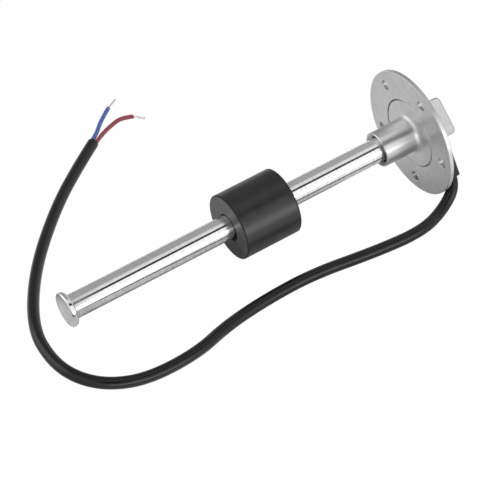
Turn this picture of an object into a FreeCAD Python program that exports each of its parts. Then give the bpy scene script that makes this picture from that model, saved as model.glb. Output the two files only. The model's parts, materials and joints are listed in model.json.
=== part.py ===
import FreeCAD, Part
import math
import os
import re
import Sketcher

# Tank level sensor: five-hole flange with a potted head, a sensing tube with a sliding float,
# an end stop, and a free two-core cable. Millimetres.
# Every piece is drawn in the sensor's own frame: the tube along Z, the tank face of the flange at
# Z = 0, the cable leaving along +X. lay_down() turns the finished sensor onto its flange rim and
# end stop, the way it rests on a floor, with the middle of its footprint at the origin.

Vector = FreeCAD.Vector
Rotation = FreeCAD.Rotation
Placement = FreeCAD.Placement

# Driving dimensions, one sheet cell each
SIZES = {
    # Flange and the head block that is cast with it
    "flange_dia": 68.0,
    "flange_thick": 2.5,
    "flange_edge": 0.4,
    "hole_circle": 54.0,
    "hole_dia": 5.2,
    "hole_edge": 0.25,
    "hole_step": 70.0,
    "head_length": 20.0,
    "head_width": 28.0,
    "head_height": 14.4,
    "head_crown": 2.5,
    "head_edge": 0.5,
    "head_wall": 2.0,
    "cavity_corner": 1.5,
    # Collar plate in its seat, with the boss that holds the tube
    "seat_dia": 37.0,
    "seat_depth": 1.5,
    "seat_gap": 0.15,
    "seam_edge": 0.35,
    "boss_wall": 3.05,
    "boss_length": 20.2,
    "boss_root": 2.5,
    "boss_edge": 0.5,
    # Flat ring between the boss's edge and the slope of its mouth, and the seal below that slope
    "mouth_land": 0.45,
    "seal_width": 0.6,
    "seal_recess": 0.6,
    "seal_height": 2.0,
    "seal_groove": 0.2,
    "seal_gap": 0.05,
    # Sensing tube and the cap that closes it
    "sensor_length": 202.0,
    "tube_dia": 12.4,
    "tube_wall": 1.0,
    "tube_fit": 0.05,
    "tube_stub": 1.0,
    "cap_dia": 18.0,
    "cap_thick": 3.2,
    "cap_back": 1.8,
    "cap_face": 0.5,
    "plug_length": 6.0,
    "plug_gap": 0.05,
    # Float and its ring magnet
    "float_dia": 34.4,
    "float_length": 31.5,
    "float_place": 93.3,
    "float_play": 1.1,
    "float_touch": 0.3,
    "float_edge": 0.5,
    "magnet_inset": 0.6,
    "magnet_width": 3.0,
    "magnet_height": 6.0,
    "magnet_gap": 0.05,
    # Circuit strip with its reed switches and resistors
    "strip_thick": 1.6,
    "strip_gap": 0.2,
    "strip_rise": 6.0,
    "reed_pitch": 21.0,
    "reed_dia": 2.2,
    "reed_length": 12.0,
    "reed_margin": 10.0,
    "reed_seat": 0.05,
    "leg_dia": 0.5,
    "leg_length": 2.5,
    "chip_length": 3.2,
    "chip_width": 1.6,
    "chip_height": 0.6,
    # Cable boot on the side of the head
    "boot_dia": 12.4,
    "boot_straight": 6.0,
    "boot_length": 20.0,
    "boot_tip_dia": 8.6,
    "boot_edge": 0.6,
    "neck_dia": 7.0,
    "neck_gap": 0.05,
    "lip_dia": 8.8,
    "lip_thick": 1.2,
    "resin_gap": 0.05,
    # Cable, its two cores and their bare ends
    "jacket_dia": 6.0,
    "jacket_depth": 4.2,
    "jacket_gap": 0.05,
    "core_dia": 2.3,
    "core_pitch": 2.5,
    "core_gap": 0.1,
    "core_drop": 4.5,
    "core_start": 0.15,
    "strand_dia": 1.0,
    "blue_strand_length": 9.0,
    "red_strand_length": 7.5,
    # Run from the boot's tip to the cable's first turn, and the cable's height over the floor
    "cable_lead": 3.5,
    "floor_gap": 0.02,
    # How far the cable's side is turned from straight down as the sensor lies
    "roll_angle": 45.0,
    # Share of the shorter run that an arc of a bent tube takes
    "arc_share": 0.45,
}

# The cable's route on the floor after the bend at the boot: X and Y in the lying frame
CABLE_ROUTE = [
    (92.3, -29.0),
    (73.3, -37.0),
    (43.8, -37.6),
    (9.3, -35.4),
    (-20.7, -39.2),
    (-46.7, -45.2),
    (-68.7, -54.2),
    (-96.7, -57.4),
    (-114.3, -51.6),
    (-125.1, -39.4),
    (-129.1, -22.0),
    (-124.9, 4.0),
    (-102.5, 41.4),
    (-68.9, 79.4),
    (-40.7, 104.4),
    (-25.5, 116.6),
]

# The two cores beyond the cut jacket: X, Y and how far each point is lifted off the floor
BLUE_ROUTE = [
    (-21.0, 122.7, 1.33),
    (-11.4, 134.4, 0.0),
    (-1.6, 141.6, 0.0),
]
RED_ROUTE = [
    (-18.2, 120.9, 1.23),
    (-8.2, 127.2, 0.03),
    (-0.6, 130.1, 0.0),
    (5.4, 127.8, 0.0),
]

# Places that several pieces share
BOOT_LEVEL = "flange_thick + head_height / 2"
JACKET_END = "head_length / 2 + boot_length - jacket_depth"
BOSS_DIA = "(tube_dia + 2 * boss_wall)"
MOUTH_RADIUS = "(tube_dia / 2 + seal_width)"
MOUTH_SLOPE = "(boss_wall - boss_edge - mouth_land - seal_width)"
SEAL_FOOT = f"({MOUTH_SLOPE} + seal_recess - boss_length)"
FLOAT_BORE = "(tube_dia + 2 * float_play)"
STRIP_FOOT = "cap_thick + plug_length - sensor_length"
RESIN_FOOT = "seat_depth + tube_stub + tube_fit"

# Two lengths nearer than this are the same
CLOSE = 1e-4

doc = FreeCAD.newDocument("TankLevelSensor")
sheet = doc.addObject("Spreadsheet::Sheet", "Sizes")
for row, (alias, size) in enumerate(SIZES.items(), 1):
    sheet.set(f"A{row}", alias)
    sheet.set(f"B{row}", str(size))
    sheet.setAlias(f"B{row}", alias)
doc.recompute()

ALIAS = re.compile(r"\b(" + "|".join(SIZES) + r")\b")
# Sub-parts by label, in the order they are made
pieces = {}


def formula(text):
    """An expression written with bare size names, as the sheet's cells are called from outside."""
    return ALIAS.sub(r"Sizes.\1", text)


def value(text):
    """The number that such an expression gives with the sheet as it stands."""
    return float(sheet.evalExpression(text))


def bind(obj, **settings):
    """Tie properties of an object to expressions; a double underscore stands for a dot."""
    for name, text in settings.items():
        obj.setExpression(name.replace("__", "."), formula(text))


def keep(obj, label):
    """Name a finished sub-part and list it for export."""
    obj.Label = label
    pieces[label] = obj
    return obj


def new_body(name):
    return doc.addObject("PartDesign::Body", name)


def sketch_on(body, role, name):
    """A sketch on one of the body's own origin planes."""
    plane = next(item for item in body.Origin.OriginFeatures if item.Role == role)
    sketch = body.newObject("Sketcher::SketchObject", name)
    sketch.AttachmentSupport = [(plane, "")]
    sketch.MapMode = "FlatFace"
    return sketch


def fix_point(sketch, index, position, across, along):
    """Hold one point of a sketch at the two given expressions."""
    for kind, axis, text in (("DistanceX", -2, across), ("DistanceY", -1, along)):
        if text == "0":
            sketch.addConstraint(Sketcher.Constraint("PointOnObject", index, position, axis))
            continue
        held = Sketcher.Constraint(kind, -1, 1, index, position, value(text))
        number = sketch.addConstraint(held)
        bind(sketch, **{f"Constraints[{number}]": text})


def draw_outline(sketch, corners):
    """Closed outline of straight edges whose corners are pairs of expressions."""
    spots = [Vector(value(across), value(along), 0) for across, along in corners]
    count = len(corners)
    for index in range(count):
        sketch.addGeometry(Part.LineSegment(spots[index], spots[(index + 1) % count]))
    for index in range(count):
        sketch.addConstraint(Sketcher.Constraint("Coincident", index, 2, (index + 1) % count, 1))
    for index, (across, along) in enumerate(corners):
        fix_point(sketch, index, 1, across, along)


def draw_circle(sketch, diameter, across="0", along="0"):
    """Circle with its diameter and centre held by expressions."""
    centre = Vector(value(across), value(along), 0)
    index = sketch.addGeometry(Part.Circle(centre, Vector(0, 0, 1), value(diameter) / 2))
    number = sketch.addConstraint(Sketcher.Constraint("Diameter", index, value(diameter)))
    bind(sketch, **{f"Constraints[{number}]": diameter})
    fix_point(sketch, index, 3, across, along)


def draw_rectangle(sketch, width, depth):
    """Rectangle about the sketch's origin."""
    right, top = f"({width}) / 2", f"({depth}) / 2"
    left, bottom = f"-({width}) / 2", f"-({depth}) / 2"
    draw_outline(sketch, [(left, bottom), (right, bottom), (right, top), (left, top)])


def pad(body, sketch, length):
    feature = body.newObject("PartDesign::Pad", f"{sketch.Name}_pad")
    feature.Profile = sketch
    bind(feature, Length=length)
    doc.recompute()
    return feature


def pocket(body, sketch, length, reverse):
    feature = body.newObject("PartDesign::Pocket", f"{sketch.Name}_pocket")
    feature.Profile = sketch
    feature.Reversed = reverse
    bind(feature, Length=length)
    doc.recompute()
    return feature


def turn(body, sketch, axis="V_Axis"):
    """Turned piece: the sketch's outline swept once round one of its own axes."""
    feature = body.newObject("PartDesign::Revolution", f"{sketch.Name}_turn")
    feature.Profile = sketch
    feature.ReferenceAxis = (sketch, [axis])
    feature.Angle = 360
    doc.recompute()
    return feature


def dress(body, kind, size, picks):
    """Fillet or chamfer of the body's tip on the edges that a test picks out."""
    base = body.Tip
    names = [f"Edge{number}" for number, edge in enumerate(base.Shape.Edges, 1) if picks(edge)]
    if not names:
        raise RuntimeError(f"{body.Label}: no edge to dress with {size}")
    feature = body.newObject(f"PartDesign::{kind}", f"{body.Name}_{size}")
    feature.Base = (base, names)
    bind(feature, **{"Radius" if kind == "Fillet" else "Size": size})
    doc.recompute()
    return feature


def ring_edge(diameter, height):
    """Test for the circle of that diameter about Z at that height."""
    radius, level = value(diameter) / 2, value(height)

    def test(edge):
        if edge.Curve.TypeId != "Part::GeomCircle":
            return False
        middle = edge.Curve.Center
        centred = math.hypot(middle.x, middle.y) < CLOSE and abs(middle.z - level) < CLOSE
        return centred and abs(edge.Curve.Radius - radius) < CLOSE

    return test


def hole_edge(edge):
    """Test for the rims of the screw holes: circles of their size, their circle's radius from Z."""
    if edge.Curve.TypeId != "Part::GeomCircle":
        return False
    middle = edge.Curve.Center
    on_circle = abs(math.hypot(middle.x, middle.y) - value("hole_circle / 2")) < CLOSE
    return on_circle and abs(edge.Curve.Radius - value("hole_dia / 2")) < CLOSE


def upright_edge(length, width):
    """Test for the vertical edges at the corners of a rectangle about Z."""
    half_length, half_width = value(length) / 2, value(width) / 2

    def test(edge):
        first, last = edge.Vertexes[0].Point, edge.Vertexes[-1].Point
        if abs(first.z - last.z) < CLOSE:
            return False
        at_corner = abs(abs(first.x) - half_length) < CLOSE and abs(abs(first.y) - half_width) < CLOSE
        return at_corner and (first - last).cross(Vector(0, 0, 1)).Length < CLOSE

    return test


def crown_edge(length, height):
    """Test for the two edges across the top of a block about Z, at the ends of its length."""
    half, level = value(length) / 2, value(height)

    def test(edge):
        first, last = edge.Vertexes[0].Point, edge.Vertexes[-1].Point
        at_end = abs(abs(first.x) - half) < CLOSE and abs(first.x - last.x) < CLOSE
        return at_end and min(first.z, last.z) > level - CLOSE

    return test


def flank_edge(width, floor):
    """Test for the edges round the two flanks of a block about Z, apart from those on its floor."""
    half, level = value(width) / 2, value(floor)

    def test(edge):
        first, last = edge.Vertexes[0].Point, edge.Vertexes[-1].Point
        on_flank = abs(abs(first.y) - half) < CLOSE and abs(first.y - last.y) < CLOSE
        return on_flank and max(first.z, last.z) > level + CLOSE

    return test


def cylinder(name, diameter, length, base="0"):
    """Plain cylinder about Z that stands at the height base."""
    obj = doc.addObject("Part::Cylinder", name)
    bind(obj, Radius=f"({diameter}) / 2", Height=length, Placement__Base__z=base)
    return obj


def hollow(label, outer, inner, length, base):
    """Straight tube about Z: one cylinder cut out of another."""
    obj = doc.addObject("Part::Cut", label)
    obj.Base = cylinder(f"{label}_outside", outer, length, base)
    obj.Tool = cylinder(f"{label}_inside", inner, length, base)
    return keep(obj, label)


def group(label, members):
    """Like pieces that share one name."""
    obj = doc.addObject("Part::Compound", label)
    obj.Links = members
    return keep(obj, label)


def bent_path(points):
    """Straight runs joined by tangent arcs, and the radius of each arc."""
    share = value("arc_share")
    edges, radii = [], []
    start = points[0]
    for before, corner, after in zip(points, points[1:], points[2:]):
        back, ahead = before - corner, after - corner
        reach = share * min(back.Length, ahead.Length)
        back.normalize()
        ahead.normalize()
        inward = back + ahead
        inward.normalize()
        half = back.getAngle(ahead) / 2
        radius = reach * math.tan(half)
        middle = corner + inward * (reach / math.cos(half) - radius)
        arc_start, arc_end = corner + back * reach, corner + ahead * reach
        edges.append(Part.LineSegment(start, arc_start).toShape())
        edges.append(Part.Arc(arc_start, middle, arc_end).toShape())
        radii.append(radius)
        start = arc_end
    edges.append(Part.LineSegment(start, points[-1]).toShape())
    return Part.Wire(edges), radii


def bent_tube(label, points, diameter):
    """Solid round rod along a bent path."""
    path, radii = bent_path(points)
    radius = value(diameter) / 2
    section = Part.Wire(Part.makeCircle(radius, points[0], points[1] - points[0]))
    solid = path.makePipeShell([section], True, False)
    share = solid.Volume / (math.pi * radius ** 2 * path.Length)
    arcs = " ".join(f"{size:.1f}" for size in radii)
    print(f"{label}: length {path.Length:.1f}, volume over section times length {share:.4f}, radii {arcs}")
    obj = doc.addObject("Part::Feature", label)
    obj.Shape = solid
    return keep(obj, label)


def make_flange_head():
    """Cast flange with the hollow head block, the collar's seat and the screw holes."""
    body = new_body("flange_head")
    disc = sketch_on(body, "XY_Plane", "flange_disc")
    draw_circle(disc, "flange_dia")
    pad(body, disc, "flange_thick")
    block = sketch_on(body, "XY_Plane", "head_block")
    draw_rectangle(block, "head_length", "head_width")
    pad(body, block, "flange_thick + head_height")
    dress(body, "Fillet", "head_crown", crown_edge("head_length", "flange_thick + head_height"))
    dress(body, "Fillet", "head_edge", flank_edge("head_width", "flange_thick"))
    cavity = sketch_on(body, "XY_Plane", "head_cavity")
    draw_rectangle(cavity, "head_length - 2 * head_wall", "head_width - 2 * head_wall")
    pocket(body, cavity, "flange_thick + head_height - head_wall", True)
    corners = upright_edge("head_length - 2 * head_wall", "head_width - 2 * head_wall")
    dress(body, "Fillet", "cavity_corner", corners)
    seat = sketch_on(body, "XY_Plane", "collar_seat")
    draw_circle(seat, "seat_dia")
    pocket(body, seat, "seat_depth", True)
    holes = sketch_on(body, "XY_Plane", "screw_holes")
    for step in range(-2, 3):
        angle = f"(180 + {step} * hole_step)"
        draw_circle(holes, "hole_dia", f"hole_circle / 2 * cos{angle}", f"hole_circle / 2 * sin{angle}")
    pocket(body, holes, "flange_thick", True)
    dress(body, "Chamfer", "hole_edge", hole_edge)
    dress(body, "Chamfer", "seam_edge", ring_edge("seat_dia", "0"))
    outlet = sketch_on(body, "YZ_Plane", "cable_outlet")
    draw_circle(outlet, "neck_dia + 2 * neck_gap", "0", BOOT_LEVEL)
    pocket(body, outlet, "head_length", True)
    rims = [ring_edge("flange_dia", "0"), ring_edge("flange_dia", "flange_thick")]
    dress(body, "Fillet", "flange_edge", lambda edge: any(rim(edge) for rim in rims))
    return keep(body, "flange_head")


def make_tube_collar():
    """Plate that closes the head from the tank side, with the boss round the tube."""
    body = new_body("tube_collar")
    profile = sketch_on(body, "XZ_Plane", "collar_profile")
    bore, plate = "tube_dia / 2 + tube_fit", "seat_dia / 2 - seat_gap"
    boss, mouth_floor = f"{BOSS_DIA} / 2", f"{SEAL_FOOT} + seal_height"
    draw_outline(profile, [
        (bore, "seat_depth"),
        (plate, "seat_depth"),
        (plate, "seam_edge"),
        (f"{plate} - seam_edge", "0"),
        (boss, "0"),
        (boss, "-boss_length"),
        (f"{MOUTH_RADIUS} + {MOUTH_SLOPE}", "-boss_length"),
        (MOUTH_RADIUS, f"{MOUTH_SLOPE} - boss_length"),
        (MOUTH_RADIUS, mouth_floor),
        (bore, mouth_floor),
    ])
    turn(body, profile)
    dress(body, "Fillet", "boss_root", ring_edge(BOSS_DIA, "0"))
    dress(body, "Fillet", "boss_edge", ring_edge(BOSS_DIA, "-boss_length"))
    return keep(body, "tube_collar")


def make_collar_seal():
    """Rubber ring below the slope of the boss's mouth, with a shallow groove round its face."""
    body = new_body("collar_seal")
    profile = sketch_on(body, "XZ_Plane", "seal_profile")
    inside, outside = "tube_dia / 2 + seal_gap", f"{MOUTH_RADIUS} - seal_gap"
    top = f"{SEAL_FOOT} + seal_height - seal_gap"
    draw_outline(profile, [
        (inside, top),
        (outside, top),
        (outside, SEAL_FOOT),
        (f"({inside} + {outside}) / 2", f"{SEAL_FOOT} + seal_groove"),
        (inside, SEAL_FOOT),
    ])
    turn(body, profile)
    return keep(body, "collar_seal")


def make_sensor_tube():
    """Straight tube from the cap's back face to just inside the head."""
    base = "cap_thick - sensor_length"
    length = "sensor_length - cap_thick + seat_depth + tube_stub"
    return hollow("sensor_tube", "tube_dia", "tube_dia - 2 * tube_wall", length, base)


def make_end_cap():
    """Turned stop with a plug in the tube's end."""
    body = new_body("end_cap")
    profile = sketch_on(body, "XZ_Plane", "cap_profile")
    plug = "tube_dia / 2 - tube_wall - plug_gap"
    shoulder, top = "cap_thick - sensor_length", "cap_thick + plug_length - sensor_length"
    draw_outline(profile, [
        ("0", "-sensor_length"),
        ("cap_dia / 2", "-sensor_length"),
        ("cap_dia / 2", shoulder),
        (plug, shoulder),
        (plug, top),
        ("0", top),
    ])
    turn(body, profile)
    dress(body, "Fillet", "cap_back", ring_edge("cap_dia", shoulder))
    dress(body, "Chamfer", "cap_face", ring_edge("cap_dia", "-sensor_length"))
    return keep(body, "end_cap")


def make_float():
    """Foam float with a loose bore and a groove that holds the ring magnet."""
    body = new_body("float_body")
    profile = sketch_on(body, "XZ_Plane", "float_profile")
    low, high = "-float_place - float_length / 2", "-float_place + float_length / 2"
    groove = f"{FLOAT_BORE} / 2 + magnet_inset + magnet_width + magnet_gap"
    groove_low = "-float_place - magnet_height / 2 - magnet_gap"
    groove_high = "-float_place + magnet_height / 2 + magnet_gap"
    bore = f"{FLOAT_BORE} / 2"
    draw_outline(profile, [
        (bore, low),
        ("float_dia / 2", low),
        ("float_dia / 2", high),
        (bore, high),
        (bore, groove_high),
        (groove, groove_high),
        (groove, groove_low),
        (bore, groove_low),
    ])
    turn(body, profile)
    rims = [ring_edge("float_dia", low), ring_edge("float_dia", high)]
    dress(body, "Fillet", "float_edge", lambda edge: any(rim(edge) for rim in rims))
    keep(body, "float_body")
    inner = f"{FLOAT_BORE} + 2 * magnet_inset"
    hollow("float_magnet", f"{inner} + 2 * magnet_width", inner, "magnet_height",
           "-float_place - magnet_height / 2")


def make_circuit_strip():
    """Board that stands on the cap's plug, as wide as the tube lets in, and ends in the head."""
    body = new_body("circuit_strip")
    outline = sketch_on(body, "XY_Plane", "strip_section")
    bind(outline, AttachmentOffset__Base__z=STRIP_FOOT)
    width = "2 * sqrt((tube_dia / 2 - tube_wall - strip_gap) ^ 2 - (strip_thick / 2) ^ 2)"
    draw_rectangle(outline, "strip_thick", width)
    pad(body, outline, f"seat_depth + strip_rise - ({STRIP_FOOT})")
    return keep(body, "circuit_strip")


def make_strip_parts():
    """Reed switches in a row down one face of the strip, and a chip resistor behind each."""
    first = value("boss_length + reed_margin + reed_length / 2")
    last = -value(STRIP_FOOT) - value("reed_margin + reed_length / 2")
    count = int((last - first) / value("reed_pitch")) + 1
    across = "strip_thick / 2 + reed_dia / 2 + reed_seat"
    reeds, legs, chips = [], [], []
    for number in range(count):
        middle = f"-(boss_length + reed_margin + reed_length / 2 + {number} * reed_pitch)"
        reed = cylinder(f"reed_{number}", "reed_dia", "reed_length", f"{middle} - reed_length / 2")
        bind(reed, Placement__Base__x=across)
        reeds.append(reed)
        for end, base in (("low", f"{middle} - reed_length / 2 - leg_length"),
                          ("high", f"{middle} + reed_length / 2")):
            leg = cylinder(f"leg_{end}_{number}", "leg_dia", "leg_length", base)
            bind(leg, Placement__Base__x=across)
            legs.append(leg)
        chip = doc.addObject("Part::Box", f"chip_{number}")
        bind(chip, Length="chip_height", Width="chip_width", Height="chip_length",
             Placement__Base__x="-strip_thick / 2 - chip_height",
             Placement__Base__y="-chip_width / 2",
             Placement__Base__z=f"{middle} - chip_length / 2")
        chips.append(chip)
    group("reed_switches", reeds)
    group("reed_leads", legs)
    group("strip_resistors", chips)


def make_cable_boot():
    """Rubber boot: a lip and a neck snapped into the head's wall, then a straight and a tapered part."""
    body = new_body("cable_boot")
    profile = sketch_on(body, "XZ_Plane", "boot_profile")
    bind(profile, AttachmentOffset__Base__y=BOOT_LEVEL)
    inner_wall = "head_length / 2 - head_wall"
    lip_end = f"{inner_wall} - lip_thick"
    outer_wall, tip = "head_length / 2", "head_length / 2 + boot_length"
    cores = "(core_pitch + core_dia) / 2 + core_gap"
    draw_outline(profile, [
        (lip_end, cores),
        (JACKET_END, cores),
        (JACKET_END, "jacket_dia / 2 + jacket_gap"),
        (tip, "jacket_dia / 2 + jacket_gap"),
        (tip, "boot_tip_dia / 2"),
        ("head_length / 2 + boot_straight", "boot_dia / 2"),
        (outer_wall, "boot_dia / 2"),
        (outer_wall, "neck_dia / 2"),
        (inner_wall, "neck_dia / 2"),
        (inner_wall, "lip_dia / 2"),
        (lip_end, "lip_dia / 2"),
    ])
    turn(body, profile, "H_Axis")
    tip_x, tip_radius = value(tip), value("boot_tip_dia / 2")

    def at_tip(edge):
        round_edge = edge.Curve.TypeId == "Part::GeomCircle" and abs(edge.Curve.Radius - tip_radius) < CLOSE
        return round_edge and abs(edge.Curve.Center.x - tip_x) < CLOSE

    dress(body, "Fillet", "boot_edge", at_tip)
    return keep(body, "cable_boot")


def make_leads():
    """The two cores from the jacket's end inside the boot, through the head, down the strip's face."""
    level = value(BOOT_LEVEL)
    beside_strip = value("(strip_thick + core_dia) / 2 + reed_seat")
    for label, side in (("blue_lead", 1), ("red_lead", -1)):
        across = side * value("core_pitch") / 2
        points = [
            Vector(value(JACKET_END), across, level),
            Vector(beside_strip, across, level),
            Vector(beside_strip, across, level - value("core_drop")),
        ]
        bent_tube(label, points, "core_dia")


def make_head_resin():
    """Potting in the head's cavity, moulded round the leads, the boot's lip and the strip's end."""
    block = new_body("resin_block")
    outline = sketch_on(block, "XY_Plane", "resin_plan")
    bind(outline, AttachmentOffset__Base__z=RESIN_FOOT)
    length = "head_length - 2 * (head_wall + resin_gap)"
    width = "head_width - 2 * (head_wall + resin_gap)"
    draw_rectangle(outline, length, width)
    pad(block, outline, f"flange_thick + head_height - head_wall - resin_gap - ({RESIN_FOOT})")
    dress(block, "Fillet", "cavity_corner", upright_edge(length, width))
    held = doc.addObject("Part::MultiFuse", "held_in_resin")
    held.Shapes = [pieces[label] for label in ("blue_lead", "red_lead", "cable_boot", "circuit_strip")]
    resin = doc.addObject("Part::Cut", "head_resin")
    resin.Base = block
    resin.Tool = held
    keep(resin, "head_resin")
    return block


def resting_turn():
    """Turn that brings the flange rim and the cap's rim down to one floor, cable side rolled out."""
    drop = value("(flange_dia - cap_dia) / 2")
    tilt = math.degrees(math.atan2(drop, value("sensor_length - cap_face + flange_edge")))
    return Rotation(Vector(0, 1, 0), 90 - tilt) * Rotation(Vector(0, 0, 1), -value("roll_angle"))


def lay_down(resin_block):
    """Place every piece: float hanging on the tube, sensor on the floor, footprint at the origin."""
    turned = resting_turn()
    down = turned.inverted().multVec(Vector(0, 0, -1))
    sag = Vector(down.x, down.y, 0)
    sag.normalize()
    sag *= value("float_play - float_touch")
    box = FreeCAD.BoundBox()
    for obj in pieces.values():
        shape = obj.Shape.copy()
        shape.Placement = Placement(Vector(), turned) * shape.Placement
        box.add(shape.optimalBoundingBox(False, False))
    lying = Placement(Vector(-box.Center.x, -box.Center.y, -box.ZMin), turned)
    resin_block.Placement = lying * resin_block.Placement
    for label, obj in pieces.items():
        if label == "head_resin":
            continue
        hanging = Placement(sag, Rotation()) if label.startswith("float_") else Placement()
        obj.Placement = lying * hanging * obj.Placement
    doc.recompute()
    return lying


def make_cable(lying):
    """Free cable from the boot to the floor and round the sensor, ending in two bared cores."""
    level = value(BOOT_LEVEL)
    tip = value("head_length / 2 + boot_length")
    first = lying.multVec(Vector(value(JACKET_END), 0, level))
    bend = lying.multVec(Vector(tip + value("cable_lead"), 0, level))
    height = value("jacket_dia / 2 + floor_gap")
    points = [first, bend] + [Vector(x, y, height) for x, y in CABLE_ROUTE]
    bent_tube("cable_jacket", points, "jacket_dia")
    end, ahead = points[-1], points[-1] - points[-2]
    ahead.normalize()
    side = Vector(0, 0, 1).cross(ahead) * value("core_pitch") / 2
    start = end + ahead * value("core_start")
    height = value("core_dia / 2 + floor_gap")
    for colour, offset, route in (("blue", side, BLUE_ROUTE), ("red", -side, RED_ROUTE)):
        points = [start + offset] + [Vector(x, y, height + lift) for x, y, lift in route]
        bent_tube(f"{colour}_wire", points, "core_dia")
        strands = doc.addObject("Part::Cylinder", f"{colour}_strands")
        bind(strands, Radius="strand_dia / 2", Height=f"{colour}_strand_length")
        strands.Placement = Placement(points[-1], Rotation(Vector(0, 0, 1), points[-1] - points[-2]))
        keep(strands, f"{colour}_strands")


def check_pieces():
    """Stop if any object failed or any sub-part's shape is empty or not valid."""
    doc.recompute()
    for obj in doc.Objects:
        if "Invalid" in obj.State or "Error" in obj.State:
            raise RuntimeError(f"{obj.Label}: {obj.State}")
    for label, obj in pieces.items():
        if obj.Shape.isNull() or not obj.Shape.isValid() or not obj.Shape.Solids:
            raise RuntimeError(f"{label}: no valid solid")


make_flange_head()
make_tube_collar()
make_collar_seal()
make_sensor_tube()
make_end_cap()
make_float()
make_circuit_strip()
make_strip_parts()
make_cable_boot()
make_leads()
potting = make_head_resin()
doc.recompute()
make_cable(lay_down(potting))
check_pieces()

os.makedirs("parts", exist_ok=True)
for label, obj in pieces.items():
    obj.Shape.exportStep(f"parts/{label}.step")
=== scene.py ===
import json
import math

import bmesh
import bpy
import numpy as np
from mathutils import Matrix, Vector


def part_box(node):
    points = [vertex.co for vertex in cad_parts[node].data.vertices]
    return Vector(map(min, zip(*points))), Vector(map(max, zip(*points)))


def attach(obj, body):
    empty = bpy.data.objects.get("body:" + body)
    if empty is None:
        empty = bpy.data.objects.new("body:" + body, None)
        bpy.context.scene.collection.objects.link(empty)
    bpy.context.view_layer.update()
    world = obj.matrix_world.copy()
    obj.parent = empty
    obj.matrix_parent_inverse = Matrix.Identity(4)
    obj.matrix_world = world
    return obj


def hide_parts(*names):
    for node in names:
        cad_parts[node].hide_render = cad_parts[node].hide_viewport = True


# Looks of the tank level sensor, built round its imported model: metres, +Z up, the sensor lying on its
# flange rim and end cap, with its cable on the floor.
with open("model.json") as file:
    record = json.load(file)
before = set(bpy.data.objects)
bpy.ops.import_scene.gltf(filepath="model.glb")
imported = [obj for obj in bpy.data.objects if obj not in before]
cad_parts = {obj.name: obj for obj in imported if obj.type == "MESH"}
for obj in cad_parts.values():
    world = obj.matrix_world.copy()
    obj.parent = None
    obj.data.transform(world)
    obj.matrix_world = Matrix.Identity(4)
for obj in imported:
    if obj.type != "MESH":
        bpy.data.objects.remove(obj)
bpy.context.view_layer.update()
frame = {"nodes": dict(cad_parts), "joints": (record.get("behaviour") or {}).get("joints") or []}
NODES = frame["nodes"]
MM = 0.001

# The sensor's own directions: along the tube towards the flange, across it, and square to both
ALONG = np.array(frame["joints"][0]["axis"])
ACROSS = np.array([0.0, 1.0, 0.0])
RISE = np.cross(ALONG, ACROSS)
UP = np.array([0.0, 0.0, 1.0])

# Sizes that the solids share, measured along the tube from the flange's tank face
FLANGE_THICK = 2.5 * MM
HOLES_REACH = 31.0 * MM
HEAD_TOP = 16.9 * MM
HEAD_WIDE = 14.0 * MM
HEAD_CROWN = 2.5 * MM
HEAD_HALF = 10.0 * MM
HEAD_WALL = 2.0 * MM
SEAT_DEPTH = 1.5 * MM
TUBE_STUB = 1.0 * MM
TUBE_RADIUS = 6.2 * MM
TUBE_WALL = 1.0 * MM
SENSOR_LENGTH = 202.0 * MM
CAP_THICK = 3.2 * MM
CAP_RADIUS = 9.0 * MM
CAP_BACK = 1.8 * MM
CAP_FACE = 0.5 * MM
PLUG_LENGTH = 6.0 * MM
FIT = 0.05 * MM
PLATE_RADIUS = 18.35 * MM
SEAM_EDGE = 0.35 * MM
SEAM_RADIUS = 18.43 * MM
BOSS_RADIUS = 9.25 * MM
BOSS_LENGTH = 20.2 * MM
BOSS_ROOT = 2.5 * MM
BOSS_EDGE = 0.5 * MM
MOUTH_RADIUS = 6.8 * MM
MOUTH_SLOPE = 1.5 * MM
SEAL_RECESS = 0.6 * MM
SEAL_HEIGHT = 2.0 * MM
SEAL_GROOVE = 0.2 * MM
FLOAT_RADIUS = 17.2 * MM
FLOAT_LENGTH = 31.5 * MM
FLOAT_EDGE = 0.5 * MM
FLOAT_BORE = 7.3 * MM
GROOVE_RADIUS = 10.95 * MM
GROOVE_HEIGHT = 6.1 * MM
BOOT_LEVEL = 9.7 * MM
BOOT_LENGTH = 20.0 * MM
BOOT_STRAIGHT = 6.0 * MM
BOOT_RADIUS = 6.2 * MM
BOOT_TIP_RADIUS = 4.3 * MM
BOOT_EDGE = 0.6 * MM
BOOT_NECK = 3.5 * MM
BOOT_LIP = 4.4 * MM
LIP_THICK = 1.2 * MM
LEAD_BORE = 2.5 * MM
JACKET_RADIUS = 3.0 * MM
JACKET_DEPTH = 4.2 * MM
JACKET_LIE = 3.02 * MM
JACKET_HOLLOW = 1.6 * MM
CORE_RADIUS = 1.15 * MM
CORE_LIE = 1.17 * MM
CORE_HALF_PITCH = 1.25 * MM
CORE_SETBACK = 1.3 * MM
CABLE_LEAD = 3.5 * MM

# Edges that are rounded here, for their shading
FINE_EDGE = 0.1 * MM
MOUTH_EDGE = 0.6 * MM
SEAL_EDGE = 0.06 * MM
CAP_EDGE = 0.12 * MM
BORE_EDGE = 0.2 * MM
BOOT_WAIST = 3.0 * MM
BOOT_FOOT_EDGE = 0.3 * MM

# Cut end of the jacket, as offset from its end and radius: bevelled shoulder, thin rim, hollow for the cores
JACKET_CUT = [
    (-0.65 * MM, JACKET_RADIUS),
    (-0.5 * MM, 2.97 * MM),
    (-0.1 * MM, 2.72 * MM),
    (0, 2.62 * MM),
    (0, 2.56 * MM),
    (-0.06 * MM, 2.5 * MM),
    (-JACKET_HOLLOW, 2.5 * MM),
    (-JACKET_HOLLOW, 0),
]
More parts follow.
